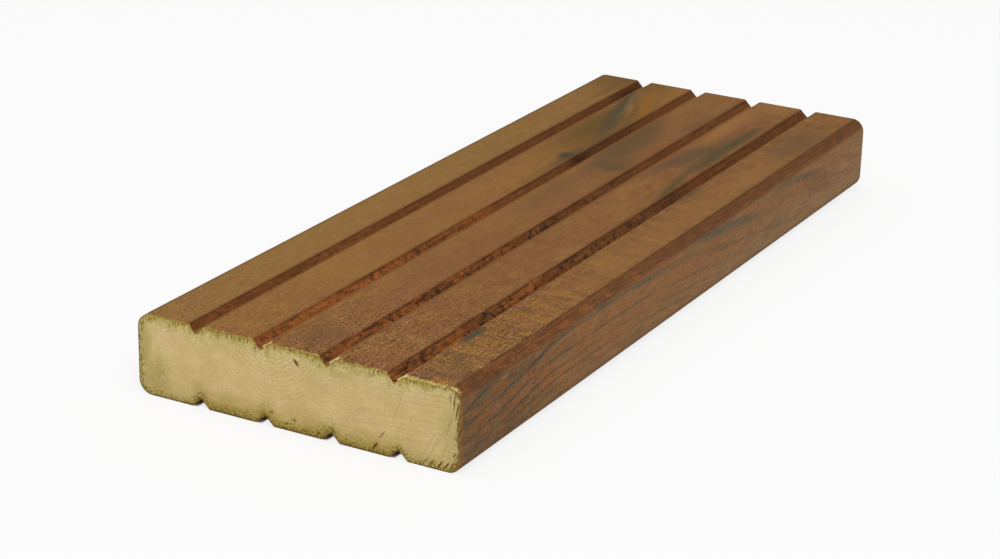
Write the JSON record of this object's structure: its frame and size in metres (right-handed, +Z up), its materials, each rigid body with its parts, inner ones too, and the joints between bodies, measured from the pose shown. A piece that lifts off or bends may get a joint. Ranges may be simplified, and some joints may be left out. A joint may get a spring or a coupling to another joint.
{
  "type": "decking board",
  "caption": "Short length of stained softwood decking board with V-grooves along both faces and rounded long edges, laid across joists as a walking surface.",
  "frame": {"origin": "middle of the underside, in the plane of its lands", "axes": "+X across the board, +Y along its length with the grooves, +Z up through the walking face"},
  "size_m": [0.12, 0.32, 0.028],
  "materials": {
    "stained_softwood": "planed softwood, pressure treated and dyed brown, matt, with pale fresh-sawn ends"
  },
  "bodies": {
    "root": {"decking_board": "stained_softwood"}
  },
  "joints": []
}
